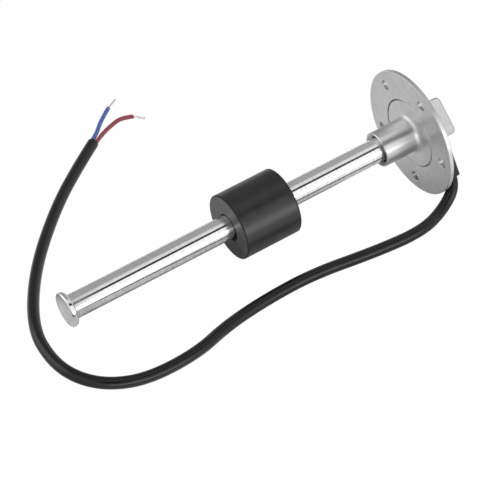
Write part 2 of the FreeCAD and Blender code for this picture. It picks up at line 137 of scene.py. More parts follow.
# Cut end of a core in the same way, and the slant of the red one as a share of its radius
CORE_CUT = [
    (-0.2 * MM, CORE_RADIUS),
    (-0.05 * MM, 0.93 * CORE_RADIUS),
    (0, 0.8 * CORE_RADIUS),
    (0, 0),
]
RED_SLANT = 0.35

# The cable's route on the floor after the bend at the boot, X and Y
CABLE_ROUTE = [
    (0.0923, -0.0290),
    (0.0733, -0.0370),
    (0.0438, -0.0376),
    (0.0093, -0.0354),
    (-0.0207, -0.0392),
    (-0.0467, -0.0452),
    (-0.0687, -0.0542),
    (-0.0967, -0.0574),
    (-0.1143, -0.0516),
    (-0.1251, -0.0394),
    (-0.1291, -0.0220),
    (-0.1249, 0.0040),
    (-0.1025, 0.0414),
    (-0.0689, 0.0794),
    (-0.0407, 0.1044),
    (-0.0255, 0.1166),
]
# The two cores beyond the cut jacket and their bared strands: X, Y and lift off the floor
BLUE_ROUTE = [
    (-0.0205, 0.1223, 0.00133),
    (-0.0107, 0.1340, 0.0),
    (-0.0016, 0.1416, 0.0),
]
RED_ROUTE = [
    (-0.0182, 0.1209, 0.00123),
    (-0.0082, 0.1272, 0.00003),
    (-0.0006, 0.1301, 0.0),
    (0.0054, 0.1278, 0.0),
]
BLUE_STRANDS = [
    (-0.0022, 0.1411, 0.0),
    (0.0004, 0.1430, 0.0),
    (0.0031, 0.1448, -0.0002),
    (0.0055, 0.1466, -0.0002),
]
RED_STRANDS = [
    (0.0048, 0.1281, 0.0),
    (0.0068, 0.1267, 0.0),
    (0.0082, 0.1247, -0.0002),
    (0.0101, 0.1233, -0.0003),
]
# Points that the smooth line gets between two of a route's points
CORD_STEPS = 24
STRAND_STEPS = 16

# Where a finish goes over into the next: runs along a piece's profile from its first corner
SATIN_RUN = (23.0 * MM, 26.0 * MM)
MOUTH_RUN = (42.3 * MM, 42.6 * MM)
TUBE_WELD_RUN = (17.0 * MM, 4.0 * MM)
# The run towards the boss is softer, and lighter by painted light
TUBE_SOFT_AND_LIT_RUN = (120.0 * MM, 175.0 * MM)
CAP_RIM_RUN = (CAP_RADIUS - 0.8 * MM, CAP_RADIUS - 0.5 * MM)
FLOAT_SIDE_START = 10.2 * MM
FLOAT_SIDE_END = FLOAT_SIDE_START + FLOAT_LENGTH
FLOAT_CUT_EDGE = 0.6 * MM
CORE_TIP_RUN = (33.0 * MM, 34.5 * MM)
# The same on the flange, head and boss: distances from the middle of the flange's tank face
HEAD_START = (FLANGE_THICK, FLANGE_THICK + 0.3 * MM)
# Painted shade darkens the flange towards its lower rim, between these two heights
LOWER_RIM_SHADE = (-14.0 * MM, -27.0 * MM)
SEAM_REACH = (0.65 * MM, 0.4 * MM)
# Painted shade deepens the seam on its far side, across between these two distances
SEAM_SHADE_SIDES = (10.0 * MM, -4.0 * MM)
# Painted shade inside the boss's mouth, on the cable's side, between these two distances
MOUTH_SHADE_SIDES = (-6.0 * MM, 0.0)
# Share of the brightness left in a screw hole by painted shade, by the share of the way through the flange
HOLE_PAINTED_SHADE = [(0.0, 1.0), (0.02, 0.8), (0.45, 0.7), (0.85, 0.7), (0.97, 1.0)]
# Painted reflections and shade round the boss: share of the brightness left, by the angle over its front as a
# share of a turn
BOSS_PAINTED_REFLECTIONS = [
    (0.0, 0.78), (0.44, 0.53), (0.5, 0.69), (0.53, 0.66), (0.585, 0.49), (0.61, 0.78),
    (0.638, 0.4), (0.66, 0.74), (0.69, 1.0), (0.735, 0.85), (0.8, 0.56), (1.0, 0.78),
]

# Camera of the photograph: place, the way it looks, and its focal length on its sensor
CAMERA_PLACE = (-0.52925, -0.79945, 0.76085)
CAMERA_AZIMUTH = -33.0
CAMERA_ELEVATION = 38.2626
CAMERA_LENS = 185.5
CAMERA_SENSOR = 36

# The floor: half its width, its grey in the open and in the painted shadow under the tube, and how white the
# camera sees it
FLOOR_HALF = 4
FLOOR_GREY = 0.76
UNDER_SHADOW_GREY = 0.35
FLOOR_WHITE = 0.985
# Its painted shadow: reach to the front and back, ends along X, and darkness from front to back
FLOOR_REACH = 0.2
PAST_CAP = (-0.105, -0.095)
BEFORE_FLANGE = (0.065, 0.055)
UNDER_TUBE_SHADOW = [(0.0, 0.0), (0.47, 0.0), (0.49, 1.0), (0.525, 1.0), (0.555, 0.0)]
# How white metal sees the floor, from front to back over the same reach; its low band close in front of the
# tube is painted shadow
OPEN_FLOOR = [
    (0.0, 0.9), (0.355, 0.9), (0.385, 0.12), (0.49, 0.12), (0.52, 0.32),
    (0.56, 0.54), (0.6, 0.58), (0.65, 0.46), (0.75, 0.42), (1.0, 0.42),
]

# Brightness of the studio and of its low strip light, by the angle over the front horizon as a share of
# half a turn
STUDIO_ARCH = [
    (0.0, 1.0), (0.304, 1.0), (0.314, 0.02), (0.398, 0.02),
    (0.412, 0.75), (0.53, 0.71), (0.58, 0.36), (1.0, 0.34),
]
STRIP_ARCH = [(0.0, 1.0), (0.08, 1.0), (0.13, 0.0)]
FRONT_LEVEL = 1.12
STRIP_LEVEL = 2.7
# Ends of the strip light, and edges of the right and left walls, along X of the direction looked in
STRIP_ENDS = (0.8, 0.6)
RIGHT_WALL = (0.62, 0.85)
RIGHT_LEVEL = 0.75
LEFT_WALL = (-0.55, -0.7)
LEFT_LEVEL = 1.0
# From the object towards the camera and towards the soft light on its left, behind; the soft edge of each
# is given by the cosine of the angle off that direction
CAMERA_SIDE = (-0.43, -0.66, 0.62)
CAMERA_SPOT = (0.93, 0.975)
CAMERA_LEVEL = 0.2
LEFT_BACK = (-0.6, 0.66, 0.45)
LEFT_BACK_SPOT = (0.87, 0.94)
LEFT_BACK_LEVEL = 1.7


def box_middle(node):
    """Middle of a node's box, which is the middle of a piece that is alike on both sides of it."""
    low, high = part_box(node)
    return (np.array(low) + np.array(high)) / 2


TUBE_LENGTH = SENSOR_LENGTH - CAP_THICK + SEAT_DEPTH + TUBE_STUB
FLANGE_MIDDLE = box_middle("sensor_tube") + ALONG * (TUBE_LENGTH / 2 - SEAT_DEPTH - TUBE_STUB)
FLOAT_MIDDLE = box_middle("float_body")
# The cable leaves the head half way between straight down and the camera's side, and the head is widest
# square to that
CABLE_OUT = (-RISE - ACROSS) / math.sqrt(2)
HEAD_SIDE = (RISE - ACROSS) / math.sqrt(2)
BOOT_FOOT = FLANGE_MIDDLE + ALONG * BOOT_LEVEL


def unit(vectors):
    """Vectors of length 1 in the same directions."""
    return vectors / np.linalg.norm(vectors, axis=-1, keepdims=True)


def run_length(points):
    """Distance from the first point to each point, along straight steps between them."""
    steps = np.linalg.norm(np.diff(points, axis=0), axis=1)
    return np.concatenate([[0.0], np.cumsum(steps)])


def surface(name, grids, run, closed=False):
    """Mesh of one or more grids of points (part, row, column) whose columns go once round: quads between
    neighbours, and from the last row to the first where closed. A corner's UV is its share of the turn and
    the run along the rows in metres. Rings that shrink to one point are joined there, and faces are turned
    outwards."""
    parts, rows, columns = grids.shape[:3]
    part, row, column = np.meshgrid(np.arange(parts), np.arange(rows if closed else rows - 1),
                                    np.arange(columns), indexing="ij")
    row = np.stack([row, row + 1, row + 1, row], axis=-1)
    column = np.stack([column, column, column + 1, column + 1], axis=-1)
    faces = (part[..., None] * rows + row % rows) * columns + column % columns
    uv = np.stack([column / columns, run[row]], axis=-1)
    mesh = bpy.data.meshes.new(name)
    mesh.from_pydata(grids.reshape(-1, 3).tolist(), [], faces.reshape(-1, 4).tolist())
    mesh.uv_layers.new(name="UVMap").data.foreach_set("uv", uv.astype(np.float32).ravel())
    mesh.polygons.foreach_set("use_smooth", np.ones(len(mesh.polygons), bool))
    work = bmesh.new()
    work.from_mesh(mesh)
    bmesh.ops.remove_doubles(work, verts=work.verts, dist=1e-7)
    bmesh.ops.recalc_face_normals(work, faces=work.faces)
    work.to_mesh(mesh)
    work.free()
    piece = bpy.data.objects.new(name, mesh)
    bpy.context.scene.collection.objects.link(piece)
    return piece


def rounded(corners, closed=True, steps=6, margin=0.12 * MM):
    """Profile through (along, radius, rounding) corners. Each corner with a rounding becomes an arc that
    touches both its runs, and each run gets a point a small margin in from its ends, to hold its shading.
    An open profile starts and ends on its first and last corner."""
    spots = np.array([corner[:2] for corner in corners], float)
    size = np.array([corner[2] for corner in corners], float)
    points = []
    count = len(spots)
    for index in range(count):
        here = spots[index]
        back, ahead = spots[index - 1] - here, spots[(index + 1) % count] - here
        back_length, ahead_length = np.linalg.norm(back), np.linalg.norm(ahead)
        back, ahead = back / back_length, ahead / ahead_length
        if not closed and index in (0, count - 1):
            points.append(here)
            continue
        half = math.acos(np.clip(back @ ahead, -1, 1)) / 2
        reach = size[index] / math.tan(half)
        start, end = here + back * reach, here + ahead * reach
        points.append(start + back * min(margin, back_length / 4))
        if size[index] > 0:
            share = np.linspace(0, 1, steps + 1)[:, None]
            middle = here + unit(back + ahead) * size[index] / math.sin(half)
            sweep = math.pi - 2 * half
            first, last = (start - middle) / size[index], (end - middle) / size[index]
            arc = (np.sin((1 - share) * sweep) * first + np.sin(share * sweep) * last) / math.sin(sweep)
            points.extend(middle + arc * size[index])
        else:
            points.append(here)
        points.append(end + ahead * min(margin, ahead_length / 4))
    return np.array(points)


def turned(name, profile, middle, axis=ALONG, side=ACROSS, lift=RISE, columns=128, closed=True):
    """Turned piece: a profile of (along, radius) carried round an axis. A point is the middle, plus along
    times the axis, plus radius times (cosine of the turn by side plus its sine by lift)."""
    turn = np.linspace(0, 2 * math.pi, columns, endpoint=False)
    spoke = np.cos(turn)[:, None] * side + np.sin(turn)[:, None] * lift
    points = middle + profile[:, None, :1] * axis + profile[:, None, 1:] * spoke[None]
    run = run_length(np.concatenate([profile, profile[:1]]))
    return surface(name, points[None], run, closed)


def spline_points(route, resolution):
    """Points along the smooth line that has the route as its control points."""
    curve = bpy.data.curves.new("route", "CURVE")
    curve.dimensions = "3D"
    line = curve.splines.new("NURBS")
    line.points.add(len(route) - 1)
    line.points.foreach_set("co", np.column_stack([route, np.ones(len(route))]).ravel())
    line.order_u = 3
    line.use_endpoint_u = True
    line.resolution_u = resolution
    holder = bpy.data.objects.new("route", curve)
    bpy.context.scene.collection.objects.link(holder)
    bpy.context.view_layer.update()
    mesh = bpy.data.meshes.new_from_object(holder)
    points = np.zeros(len(mesh.vertices) * 3)
    mesh.vertices.foreach_get("co", points)
    bpy.data.objects.remove(holder)
    bpy.data.curves.remove(curve)
    bpy.data.meshes.remove(mesh)
    return points.reshape(-1, 3)


def square_frame(path):
    """At each point of a path, its direction, a level direction square to it, and the one square to both."""
    tangent = unit(np.gradient(path, axis=0))
    side = unit(np.cross(tangent, UP))
    return tangent, side, np.cross(side, tangent)


def rod(name, path, radius, start, end, columns, lean=0.0):
    """Round rod along a path: at each point a ring square to the path, a point of it being the path's point
    plus radius times (cosine of the turn by side plus its sine by lift). Rows of (offset, radius) close both
    ends, offset measured along the path from its end; the far end's rows lean by a share of their radius."""
    tangent, side, lift = square_frame(path)
    arc = run_length(path)
    first, last = np.array(start), np.array(end)
    body = np.flatnonzero((arc > first[:, 0].max()) & (arc < arc[-1] + last[:, 0].min()))
    row = np.concatenate([np.zeros(len(first), int), body, np.full(len(last), len(path) - 1)])
    offset = np.concatenate([first[:, 0], np.zeros(len(body)), last[:, 0]])
    size = np.concatenate([first[:, 1], np.full(len(body), radius), last[:, 1]])
    leaning = np.concatenate([np.zeros(len(first) + len(body)), lean * last[:, 1]])
    turn = np.linspace(0, 2 * math.pi, columns, endpoint=False)
    cosine, sine = np.cos(turn)[None, :, None], np.sin(turn)[None, :, None]
    spoke = cosine * side[row][:, None] + sine * lift[row][:, None]
    forward = offset[:, None] + leaning[:, None] * np.cos(turn)
    points = path[row][:, None] + forward[..., None] * tangent[row][:, None] + size[:, None, None] * spoke
    return surface(name, points[None], arc[row] + offset)


def strand_bundle(name, path, columns=10):
    """Seven bare strands: one along the path and six wound round it. A strand's line is the path plus the
    lay radius times (cosine of its turn by side plus its sine by lift), the turn growing with the run over
    the pitch; towards the tip the six spread. Each strand is a thin rod on its own line."""
    strand, lay, pitch, spread_run, spread = 0.2 * MM, 0.34 * MM, 5.0 * MM, 3.0 * MM, 0.4
    tangent, side, lift = square_frame(path)
    arc = run_length(path)
    number = np.arange(7)[:, None]
    turn = 2 * math.pi * (arc / pitch + number / 6)
    opening = np.clip((arc - arc[-1] + spread_run) / spread_run, 0, 1) ** 2
    own_spread = spread * (0.5 + 0.5 * np.cos(2.4 * number))
    reach = np.where(number < 6, lay, 0.0) * (1 + own_spread * opening)
    line = path + reach[..., None] * (np.cos(turn)[..., None] * side + np.sin(turn)[..., None] * lift)
    around = np.linspace(0, 2 * math.pi, columns, endpoint=False)[None, None, :, None]
    ring = np.cos(around) * side[None, :, None] + np.sin(around) * lift[None, :, None]
    size = np.full(len(path) + 2, strand)
    size[[0, -1]] = 0
    row = np.concatenate([[0], np.arange(len(path)), [len(path) - 1]])
    points = line[:, row][:, :, None] + size[:, None, None] * ring[:, row]
    return surface(name, points, arc[row])


# Materials. Each starts from one shader; patterns come from noise in the part's own metres.
def start_finish(name, colour, metallic, roughness, **sockets):
    """New material with its constant values on the shader's own sockets."""
    material = bpy.data.materials.new(name)
    material.use_nodes = True
    tree = material.node_tree
    shader = tree.nodes["Principled BSDF"]
    shader.inputs["Base Color"].default_value = (*colour, 1)
    shader.inputs["Metallic"].default_value = metallic
    shader.inputs["Roughness"].default_value = roughness
    for socket, constant in sockets.items():
        shader.inputs[socket].default_value = constant
    return material, tree, shader


def put(tree, kind, inputs, **settings):
    """Adds a node, sets its settings, and gives each input a number or a link."""
    made = tree.nodes.new("ShaderNode" + kind)
    for name, setting in settings.items():
        setattr(made, name, setting)
    for name, given in inputs.items():
        if isinstance(given, bpy.types.NodeSocket):
            tree.links.new(given, made.inputs[name])
        else:
            made.inputs[name].default_value = given
    return made


def math_of(tree, operation, first, second=0.0):
    """Result of one sum on one or two numbers."""
    return put(tree, "Math", {0: first, 1: second}, operation=operation).outputs[0]


def product(tree, first, *others):
    """Product of two or more numbers."""
    for other in others:
        first = math_of(tree, "MULTIPLY", first, other)
    return first


def length_of(tree, first, second):
    """Length of a line from its two square parts."""
    squares = math_of(tree, "ADD", math_of(tree, "POWER", first, 2.0), math_of(tree, "POWER", second, 2.0))
    return math_of(tree, "SQRT", squares)


def dot_of(tree, first, second):
    """Length of one vector along another of length 1."""
    return put(tree, "VectorMath", {0: first, 1: second}, operation="DOT_PRODUCT").outputs["Value"]


def step_of(tree, number, start, end, low=0.0, high=1.0):
    """Goes from low to high as a number goes from start to end."""
    inputs = {"Value": number, "From Min": start, "From Max": end, "To Min": low, "To Max": high}
    return put(tree, "MapRange", inputs).outputs[0]


def between(tree, noise, low, high, start=0.3, end=0.7):
    """Carries a noise's middle range over to values from low to high."""
    return step_of(tree, noise, start, end, low, high)


def ramp_of(tree, factor, stops):
    """Level by a factor, through stops of (place, level)."""
    made = put(tree, "ValToRGB", {"Fac": factor})
    elements = made.color_ramp.elements
    while len(elements) < len(stops):
        elements.new(0.5)
    for element, (position, level) in zip(elements, stops):
        element.position = position
        element.color = (level, level, level, 1)
    return made.outputs["Color"]


def blend_of(tree, factor, first, second):
    """Number between two others by a factor."""
    return put(tree, "Mix", {0: factor, 2: first, 3: second}, data_type="FLOAT").outputs[0]


def tint(tree, factor, first, second):
    """Colour between two others by a factor; the first may be a link."""
    if not isinstance(first, bpy.types.NodeSocket):
        first = (*first, 1)
    return put(tree, "Mix", {0: factor, 6: first, 7: (*second, 1)}, data_type="RGBA").outputs[2]


def shade(tree, shader, brightness):
    """Grey base colour from a number."""
    grey = put(tree, "CombineColor", {"Red": brightness, "Green": brightness, "Blue": brightness}).outputs[0]
    tree.links.new(grey, shader.inputs["Base Color"])


def relief(tree, shader, height, depth, strength):
    """Bump of the given depth in metres."""
    normal = put(tree, "Bump", {"Height": height, "Distance": depth, "Strength": strength}).outputs[0]
    tree.links.new(normal, shader.inputs["Normal"])


def place(tree, stretch=(1, 1, 1)):
    """Object coordinates, stretched along the sensor's own directions: along the tube, across it, and up."""
    coords = put(tree, "TexCoord", {}).outputs["Object"]
    tilt = math.atan2(ALONG[2], ALONG[0])
    turned_to_tube = put(tree, "Mapping", {"Vector": coords, "Rotation": (0, tilt, 0)}).outputs[0]
    return put(tree, "Mapping", {"Vector": turned_to_tube, "Scale": stretch}).outputs[0]


def speckle(tree, coords, size, detail=2.0):
    """Soft noise with patches of about the given size."""
    return put(tree, "TexNoise", {"Vector": coords, "Scale": 1 / size, "Detail": detail}).outputs[0]


def profile_run(tree):
    """Run along a piece's profile, which its UV map holds."""
    return put(tree, "SeparateXYZ", {"Vector": put(tree, "UVMap", {}).outputs[0]}).outputs["Y"]


def profile_step(tree, start, end):
    """0 before one place on a piece's profile and 1 after another, by the run along it."""
    return step_of(tree, profile_run(tree), start, end)


def rings(tree, size, detail=3.0):
    """Noise that changes only with the run along a piece's profile, as tool marks on turned metal do."""
    inputs = {"W": profile_run(tree), "Scale": 1 / size, "Detail": detail}
    return put(tree, "TexNoise", inputs, noise_dimensions="1D").outputs[0]


def off_flange(tree, direction):
    """Distance of a point from the middle of the flange's tank face, along a direction."""
    coords = put(tree, "TexCoord", {}).outputs["Object"]
    reach = put(tree, "VectorMath", {0: coords, 1: tuple(FLANGE_MIDDLE)}, operation="SUBTRACT").outputs[0]
    return dot_of(tree, reach, tuple(direction))


def off_axis(tree):
    """Distance of a point from the tube's axis."""
    return length_of(tree, off_flange(tree, ACROSS), off_flange(tree, RISE))


def on_head(tree):
    """0 on the flange and 1 on the head behind it."""
    return step_of(tree, off_flange(tree, ALONG), *HEAD_START)


def seam_joint_and_shade(tree):
    """Share of the brightness left in the seam round the collar plate: a dark joint, with painted shade
    making it darkest on its far side.
    """
    from_seam = math_of(tree, "ABSOLUTE", math_of(tree, "SUBTRACT", off_axis(tree), SEAM_RADIUS))
    on_face = math_of(tree, "LESS_THAN", off_flange(tree, ALONG), SEAT_DEPTH)
    seam = product(tree, step_of(tree, from_seam, *SEAM_REACH), on_face)
    return blend_of(tree, seam, 1.0, step_of(tree, off_flange(tree, ACROSS), *SEAM_SHADE_SIDES, 0.45, 0.78))


def head_edge_shade(tree):
    """Painted shade along the edges of the head's two wide faces, as the share of the brightness left there.
    The distance from an edge is measured in the plan of the face, a rectangle with its two far corners
    rounded by the crown's radius."""
    out = math_of(tree, "ABSOLUTE", off_flange(tree, CABLE_OUT))
    past_end = math_of(tree, "SUBTRACT", out, HEAD_HALF - HEAD_CROWN)
    past_top = math_of(tree, "SUBTRACT", off_flange(tree, ALONG), HEAD_TOP - HEAD_CROWN)
    reach = length_of(tree, math_of(tree, "MAXIMUM", past_end), math_of(tree, "MAXIMUM", past_top))
    edge = step_of(tree, reach, HEAD_CROWN - 0.7 * MM, HEAD_CROWN - 0.35 * MM)
    wide = math_of(tree, "ABSOLUTE", off_flange(tree, HEAD_SIDE))
    on_wide_face = step_of(tree, wide, HEAD_WIDE - 0.8 * MM, HEAD_WIDE - 0.5 * MM)
    return blend_of(tree, product(tree, edge, on_wide_face, on_head(tree)), 1.0, 0.5)


def head_grain(tree):
    """Coarser, lighter cast grain on the head, past the flange."""
    cast = between(tree, speckle(tree, place(tree), 0.8 * MM, 2), 1.0, 1.22)
    return blend_of(tree, on_head(tree), 1.0, cast)


def hole_painted_shade(tree):
    """Share of the brightness left inside the screw holes by painted shade: less on their broken edge, and
    least half way through the flange. The place through the flange is the distance along the tube from its
    tank face, within the holes' reach of the axis."""
    through = math_of(tree, "DIVIDE", off_flange(tree, ALONG), FLANGE_THICK)
    outside = math_of(tree, "GREATER_THAN", off_axis(tree), HOLES_REACH)
    return blend_of(tree, outside, ramp_of(tree, through, HOLE_PAINTED_SHADE), 1.0)


def boss_painted_reflections(tree):
    """Painted reflections and shade on the boss, as the share of the brightness left: less underneath and at
    the back of its top, and less in one soft streak along it, half way up its front. The place round the boss
    is the angle over its front."""
    front = product(tree, off_flange(tree, ACROSS), -1.0)
    angle = math_of(tree, "ARCTAN2", off_flange(tree, RISE), front)
    return ramp_of(tree, step_of(tree, angle, -math.pi, math.pi), BOSS_PAINTED_REFLECTIONS)


def blasted_values(tree):
    """Brightness, roughness and grain of bead-blasted steel: fine grain, soft patches, a broad drift, and
    painted shade that leaves less brightness towards the flange's lower rim."""
    coords = place(tree)
    broad = between(tree, speckle(tree, coords, 28 * MM, 1), -0.04, 0.04)
    patches = between(tree, speckle(tree, coords, 3.5 * MM, 3), 0.59, 0.66)
    grain = speckle(tree, coords, 0.4 * MM, 2)
    fine = between(tree, grain, -0.03, 0.03)
    mottled = math_of(tree, "ADD", math_of(tree, "ADD", patches, broad), fine)
    # Painted shade towards the flange's lower rim
    lower_rim_shade = step_of(tree, off_flange(tree, RISE), *LOWER_RIM_SHADE, 1.0, 0.84)
    brightness = product(tree, mottled, lower_rim_shade, seam_joint_and_shade(tree))
    roughness = between(tree, speckle(tree, coords, 2.2 * MM, 3), 0.40, 0.50)
    return brightness, roughness, grain


def blasted_steel():
    """Bead-blasted casting of the flange and head, with painted shade in its holes and along the head's
    edges.
    """
    material, tree, shader = start_finish("blasted_steel", (0.80, 0.80, 0.80), 1, 0.45)
    brightness, roughness, grain = blasted_values(tree)
    # Painted shade in the screw holes and along the head's edges
    shade(tree, shader, product(tree, brightness, hole_painted_shade(tree), head_edge_shade(tree), head_grain(tree)))
    tree.links.new(roughness, shader.inputs["Roughness"])
    relief(tree, shader, grain, 0.02 * MM, 0.5)
    return material


def collar_steel():
    """Blasted like the flange on the plate, satin turned from the root of the boss to its mouth, with painted
    reflections and shade round the boss, and painted shade inside the mouth on the cable's side."""
    material, tree, shader = start_finish("collar_steel", (0.78, 0.78, 0.78), 1, 0.35)
    brightness, roughness, grain = blasted_values(tree)
    satin = profile_step(tree, *SATIN_RUN)
    # Painted shade inside the mouth, strongest on the cable's side
    mouth_shade_side = step_of(tree, off_flange(tree, CABLE_OUT), *MOUTH_SHADE_SIDES, 0.08, 1.0)
    mouth_painted_shade = product(tree, profile_step(tree, *MOUTH_RUN), mouth_shade_side)
    marks = rings(tree, 0.5 * MM)
    # Painted reflections and shade round the boss
    bright = product(tree, between(tree, marks, 0.85, 0.92), boss_painted_reflections(tree))
    turned_brightness = blend_of(tree, mouth_painted_shade, bright, 0.15)
    turned_roughness = between(tree, rings(tree, 1.1 * MM), 0.31, 0.37)
    shade(tree, shader, blend_of(tree, satin, brightness, turned_brightness))
    tree.links.new(blend_of(tree, satin, roughness, turned_roughness), shader.inputs["Roughness"])
    relief(tree, shader, blend_of(tree, satin, grain, product(tree, marks, 0.01)), 0.02 * MM, 0.5)
    return material


def cap_steel():
    """Turned: a satin face with tool rings, broken by faint patches, and a brighter edge and rim."""
    material, tree, shader = start_finish("cap_steel", (0.80, 0.80, 0.80), 1, 0.2)
    marks = rings(tree, 0.45 * MM)
    patches = between(tree, speckle(tree, place(tree), 4 * MM, 2), -0.01, 0.01)
    shade(tree, shader, math_of(tree, "ADD", between(tree, marks, 0.77, 0.82), patches))
    face_roughness = between(tree, rings(tree, 0.9 * MM), 0.27, 0.33)
    roughness = blend_of(tree, profile_step(tree, *CAP_RIM_RUN), face_roughness, 0.12)
    tree.links.new(roughness, shader.inputs["Roughness"])
    relief(tree, shader, marks, 0.0005 * MM, 0.5)
    return material


def grain_round(tree, shader):
    """Polish marks that run round a turned piece, so that reflections blur along it and stay crisp across."""
    tangent = put(tree, "Tangent", {}, direction_type="UV_MAP").outputs[0]
    tree.links.new(tangent, shader.inputs["Tangent"])
    shader.inputs["Anisotropic"].default_value = 0.8
    shader.inputs["Anisotropic Rotation"].default_value = 0.25


def tube_steel():
    """Polished round tube: fine lines across its length, a duller end where the cap is welded, and a softer
    run towards the boss, made lighter by painted light."""
    material, tree, shader = start_finish("tube_steel", (0.88, 0.88, 0.88), 1, 0.15)
    lines = speckle(tree, place(tree, (1, 0.03, 0.03)), 0.4 * MM, 0)
    cloud = speckle(tree, place(tree, (1, 0.4, 0.4)), 6 * MM, 2)
    welded = profile_step(tree, *TUBE_WELD_RUN)
    near_boss_soft_and_lit = profile_step(tree, *TUBE_SOFT_AND_LIT_RUN)
    polish = math_of(tree, "ADD", between(tree, lines, 0.12, 0.14), between(tree, cloud, 0.0, 0.02))
    softened = blend_of(tree, near_boss_soft_and_lit, polish, 0.2)
    tree.links.new(blend_of(tree, welded, softened, 0.32), shader.inputs["Roughness"])
    # Painted light makes the run towards the boss lighter
    level = product(tree, blend_of(tree, welded, 1.0, 0.86), blend_of(tree, near_boss_soft_and_lit, 1.0, 1.08))
    shade(tree, shader, product(tree, between(tree, lines, 0.75, 0.92), level))
    relief(tree, shader, lines, 0.0005 * MM, 0.5)
    grain_round(tree, shader)
    return material


def rim_line(tree, edge):
    """1 in a thin line along an edge of the float, given by its run along the profile."""
    return product(tree, profile_step(tree, edge - 0.8 * MM, edge - 0.5 * MM),
                   profile_step(tree, edge + 0.5 * MM, edge + 0.2 * MM))


def foam_skin():
    """Black closed-cell foam: a smooth moulded side, rougher cut ends made lighter by painted light, a dark
    line of painted shade along their edges, soft patches, and pores as a faint bump."""
    black = (0.016, 0.016, 0.016)
    material, tree, shader = start_finish("foam", black, 0, 0.34, **{"Specular IOR Level": 0.5})
    coords = place(tree)
    patches = speckle(tree, coords, 5 * MM, 3)
    pores = speckle(tree, coords, 0.55 * MM, 3)
    ends = math_of(tree, "MAXIMUM", profile_step(tree, FLOAT_SIDE_START, FLOAT_SIDE_START - FLOAT_CUT_EDGE),
                   profile_step(tree, FLOAT_SIDE_END - FLOAT_CUT_EDGE, FLOAT_SIDE_END))
    # Painted shade: a dark line along the edges of the cut ends, which are also made matt there
    rim_matt_and_shade = math_of(tree, "MAXIMUM", rim_line(tree, FLOAT_SIDE_START),
                   rim_line(tree, FLOAT_SIDE_END - FLOAT_EDGE))
    smooth = blend_of(tree, ends, between(tree, pores, 0.31, 0.37), 0.46)
    tree.links.new(blend_of(tree, rim_matt_and_shade, smooth, 0.75), shader.inputs["Roughness"])
    skin = between(tree, patches, 0.011, 0.018)
    # Painted light: the cut ends are several times lighter than the side
    ends_painted_light = blend_of(tree, ends, skin, product(tree, skin, 4.4))
    shade(tree, shader, product(tree, ends_painted_light, blend_of(tree, rim_matt_and_shade, 1.0, 0.4)))
    relief(tree, shader, pores, 0.005 * MM, 0.5)
    return material


def black_skin(name, blacks, roughness, gloss, grain_size, depth):
    """Black rubber or plastic: patchy black, uneven gloss and a fine moulded grain."""
    black = (blacks[0], blacks[0], blacks[0])
    material, tree, shader = start_finish(name, black, 0, roughness[0], **{"Specular IOR Level": gloss})
    coords = place(tree)
    grain = speckle(tree, coords, grain_size, 3)
    shade(tree, shader, between(tree, speckle(tree, coords, 6 * MM, 3), *blacks))
    tree.links.new(between(tree, grain, *roughness), shader.inputs["Roughness"])
    relief(tree, shader, grain, depth, 0.6)
    return material


def core_skin(name, colour, pale, tip):
    """Coloured core insulation: the colour drifts a little, faint scuffs in its gloss, and a tip paled by
    the heat of stripping."""
    material, tree, shader = start_finish(name, colour, 0, 0.2, **{"Specular IOR Level": 0.6})
    coords = place(tree)
    drift = between(tree, speckle(tree, coords, 6 * MM, 2), 0, 1)
    base = tint(tree, drift, colour, pale)
    heated = tint(tree, profile_step(tree, *CORE_TIP_RUN), base, tip)
    tree.links.new(heated, shader.inputs["Base Color"])
    scuffs = speckle(tree, coords, 5 * MM, 2)
    tree.links.new(between(tree, scuffs, 0.17, 0.23), shader.inputs["Roughness"])
    relief(tree, shader, scuffs, 0.001 * MM, 0.2)
    return material


def tinned_copper():
    """Tinned strands: grey metal, with bare copper showing through here and there."""
    material, tree, shader = start_finish("tinned_copper", (0.62, 0.61, 0.58), 1, 0.34)
    coords = place(tree)
    worn = between(tree, speckle(tree, coords, 0.9 * MM, 3), 0, 1, 0.6, 0.9)
    tree.links.new(tint(tree, worn, (0.92, 0.91, 0.90), (0.72, 0.62, 0.54)), shader.inputs["Base Color"])
    tree.links.new(between(tree, speckle(tree, coords, 0.3 * MM), 0.26, 0.42), shader.inputs["Roughness"])
    return material


def grained(name, first, second, roughness, patch, **sockets):
    """Hidden inner parts: two near colours in patches, with uneven gloss and a fine grain."""
    material, tree, shader = start_finish(name, first, 0, roughness, **sockets)
    coords = place(tree)
    patches = between(tree, speckle(tree, coords, patch, 3), 0, 1)
    tree.links.new(tint(tree, patches, first, second), shader.inputs["Base Color"])
    grain = speckle(tree, coords, patch / 4)
    tree.links.new(between(tree, grain, roughness * 0.85, roughness * 1.15), shader.inputs["Roughness"])
    relief(tree, shader, grain, 0.01 * MM, 0.5)
    return material


BLASTED = blasted_steel()
COLLAR = collar_steel()
CAP = cap_steel()
TUBE = tube_steel()
FOAM = foam_skin()
SEAL = black_skin("seal_rubber", blacks=(0.07, 0.1), roughness=(0.5, 0.62), gloss=0.38,
                  grain_size=0.3 * MM, depth=0.01 * MM)
BOOT = black_skin("boot_rubber", blacks=(0.010, 0.015), roughness=(0.36, 0.46), gloss=0.3,
                  grain_size=0.35 * MM, depth=0.008 * MM)
JACKET = black_skin("jacket", blacks=(0.005, 0.009), roughness=(0.17, 0.23), gloss=0.36,
                    grain_size=0.8 * MM, depth=0.003 * MM)
BLUE = core_skin("blue_insulation", colour=(0.050, 0.135, 0.46), pale=(0.062, 0.155, 0.50),
                 tip=(0.19, 0.25, 0.50))
RED = core_skin("red_insulation", colour=(0.31, 0.036, 0.060), pale=(0.35, 0.046, 0.074),
                tip=(0.36, 0.050, 0.080))
TINNED = tinned_copper()
